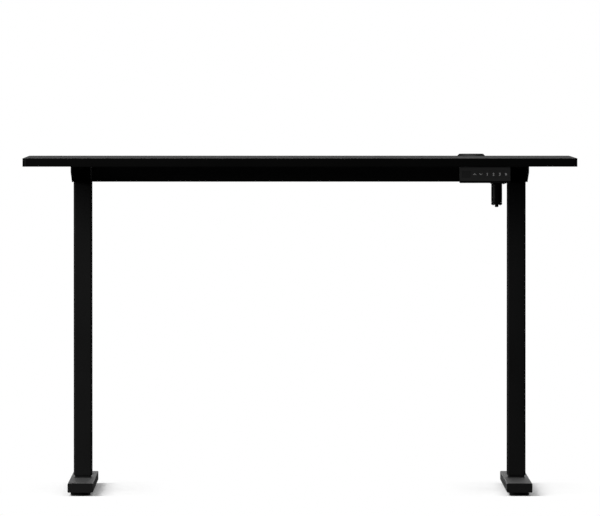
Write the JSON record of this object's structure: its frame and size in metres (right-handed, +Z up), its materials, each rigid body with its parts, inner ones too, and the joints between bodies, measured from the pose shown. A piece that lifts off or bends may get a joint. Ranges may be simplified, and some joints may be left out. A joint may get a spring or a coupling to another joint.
{
  "type": "height adjustable standing desk",
  "caption": "Motorised sit-stand desk: rectangular board on a steel frame of telescopic columns with T feet, keypad under the front edge.",
  "frame": {"origin": "on the floor, under the middle of the desk", "axes": "+X to the sitter's right along the long side, +Y to the back, +Z up; the keypad faces -Y"},
  "size_m": [1.2, 0.63, 0.735],
  "materials": {
    "desktop_laminate": "black fine-grained laminate on particle board, satin",
    "coated_steel": "black powder coat, fine texture, satin",
    "moulded_plastic": "black moulded, fine spark texture",
    "key_plastic": "black moulded keys with pale printed marks",
    "display_lens": "smoked polished window",
    "pad_rubber": "matte black moulded rubber over a steel stud",
    "zinc_steel": "bright zinc plate",
    "gear_steel": "machined steel, lightly oiled",
    "brass": "machined brass, greased",
    "nylon": "natural nylon, smooth"
  },
  "bodies": {
    "left_base": {"foot_left": "coated_steel", "foot_cap_left_front": "moulded_plastic", "foot_cap_left_rear": "moulded_plastic", "inner_tube_left": "coated_steel", "base_plate_left": "zinc_steel", "nut_carrier_left": "moulded_plastic", "drive_nut_left": "brass", "slide_shoe_left": "nylon"},
    "upper_frame": {"desktop": "desktop_laminate", "grommet_sleeve": "moulded_plastic", "crossbar_front": "coated_steel", "crossbar_rear": "coated_steel", "side_arm_left": "coated_steel", "column_head_left": "coated_steel", "outer_tube_left": "coated_steel", "slide_collar_left": "moulded_plastic", "bearing_block_left": "moulded_plastic", "gearbox_left": "moulded_plastic", "gearbox_cover_left": "moulded_plastic", "side_arm_right": "coated_steel", "column_head_right": "coated_steel", "outer_tube_right": "coated_steel", "slide_collar_right": "moulded_plastic", "bearing_block_right": "moulded_plastic", "gearbox_right": "moulded_plastic", "gearbox_cover_right": "moulded_plastic", "motor_can": "coated_steel", "motor_end_cap": "moulded_plastic", "keypad_housing": "moulded_plastic", "display_lens": "display_lens", "control_box": "moulded_plastic"},
    "right_base": {"foot_right": "coated_steel", "foot_cap_right_front": "moulded_plastic", "foot_cap_right_rear": "moulded_plastic", "inner_tube_right": "coated_steel", "base_plate_right": "zinc_steel", "nut_carrier_right": "moulded_plastic", "drive_nut_right": "brass", "slide_shoe_right": "nylon"},
    "screw_left": {"lead_screw_left": "gear_steel", "screw_gear_left": "gear_steel"},
    "screw_right": {"lead_screw_right": "gear_steel", "screw_gear_right": "gear_steel"},
    "shaft": {"drive_shaft": "zinc_steel", "shaft_gear_left": "gear_steel", "shaft_gear_right": "gear_steel", "motor_gear": "gear_steel"},
    "motor_rotor": {"motor_pinion": "gear_steel"},
    "grommet_lid": {"grommet_cap": "moulded_plastic"},
    "key_up_body": {"key_up": "key_plastic"},
    "key_down_body": {"key_down": "key_plastic"},
    "key_preset_1_body": {"key_preset_1": "key_plastic"},
    "key_preset_2_body": {"key_preset_2": "key_plastic"},
    "key_preset_3_body": {"key_preset_3": "key_plastic"},
    "key_memory_body": {"key_memory": "key_plastic"},
    "pad_left_front": {"levelling_pad_left_front": "pad_rubber"},
    "pad_left_rear": {"levelling_pad_left_rear": "pad_rubber"},
    "pad_right_front": {"levelling_pad_right_front": "pad_rubber"},
    "pad_right_rear": {"levelling_pad_right_rear": "pad_rubber"}
  },
  "joints": [
    {"name": "lift", "type": "slide", "parent": "left_base", "child": "upper_frame", "axis": [0, 0, 1], "range_m": [0, 0.45]},
    {"name": "right_leg_slide", "type": "slide", "parent": "upper_frame", "child": "right_base", "axis": [0, 0, -1], "range_m": [0, 0.45]},
    {"name": "screw_turn_left", "type": "hinge", "parent": "upper_frame", "child": "screw_left", "pos_m": [-0.475, 0, 0.67], "axis": [0, 0, 1], "range_deg": [0, 20251]},
    {"name": "screw_turn_right", "type": "hinge", "parent": "upper_frame", "child": "screw_right", "pos_m": [0.475, 0, 0.67], "axis": [0, 0, 1], "range_deg": [0, 20251]},
    {"name": "shaft_turn", "type": "hinge", "parent": "upper_frame", "child": "shaft", "pos_m": [0, 0, 0.693], "axis": [1, 0, 0], "range_deg": [0, 20251]},
    {"name": "motor_turn", "type": "hinge", "parent": "upper_frame", "child": "motor_rotor", "pos_m": [0.4322, 0, 0.68], "axis": [0, 0, 1], "range_deg": [0, 20251]},
    {"name": "press_up", "type": "slide", "parent": "upper_frame", "child": "key_up_body", "axis": [0, 1, 0], "range_m": [0, 0.0008], "stiffness_N_per_m": 1500},
    {"name": "press_down", "type": "slide", "parent": "upper_frame", "child": "key_down_body", "axis": [0, 1, 0], "range_m": [0, 0.0008], "stiffness_N_per_m": 1500},
    {"name": "press_preset_1", "type": "slide", "parent": "upper_frame", "child": "key_preset_1_body", "axis": [0, 1, 0], "range_m": [0, 0.0008], "stiffness_N_per_m": 1500},
    {"name": "press_preset_2", "type": "slide", "parent": "upper_frame", "child": "key_preset_2_body", "axis": [0, 1, 0], "range_m": [0, 0.0008], "stiffness_N_per_m": 1500},
    {"name": "press_preset_3", "type": "slide", "parent": "upper_frame", "child": "key_preset_3_body", "axis": [0, 1, 0], "range_m": [0, 0.0008], "stiffness_N_per_m": 1500},
    {"name": "press_memory", "type": "slide", "parent": "upper_frame", "child": "key_memory_body", "axis": [0, 1, 0], "range_m": [0, 0.0008], "stiffness_N_per_m": 1500},
    {"name": "grommet_turn", "type": "hinge", "parent": "upper_frame", "child": "grommet_lid", "pos_m": [0.381, 0.235, 0.7315], "axis": [0, 0, 1], "continuous": true},
    {"name": "level_left_front", "type": "slide", "parent": "left_base", "child": "pad_left_front", "axis": [0, 0, -1], "range_m": [0, 0.01]},
    {"name": "level_left_rear", "type": "slide", "parent": "left_base", "child": "pad_left_rear", "axis": [0, 0, -1], "range_m": [0, 0.01]},
    {"name": "level_right_front", "type": "slide", "parent": "right_base", "child": "pad_right_front", "axis": [0, 0, -1], "range_m": [0, 0.01]},
    {"name": "level_right_rear", "type": "slide", "parent": "right_base", "child": "pad_right_rear", "axis": [0, 0, -1], "range_m": [0, 0.01]}
  ],
  "couplings": [
    {"joint": "right_leg_slide", "follows": "lift", "ratio": 1},
    {"joint": "screw_turn_left", "follows": "lift", "rad_per_m": 785.4},
    {"joint": "screw_turn_right", "follows": "lift", "rad_per_m": 785.4},
    {"joint": "shaft_turn", "follows": "lift", "rad_per_m": 785.4},
    {"joint": "motor_turn", "follows": "lift", "rad_per_m": 785.4}
  ]
}
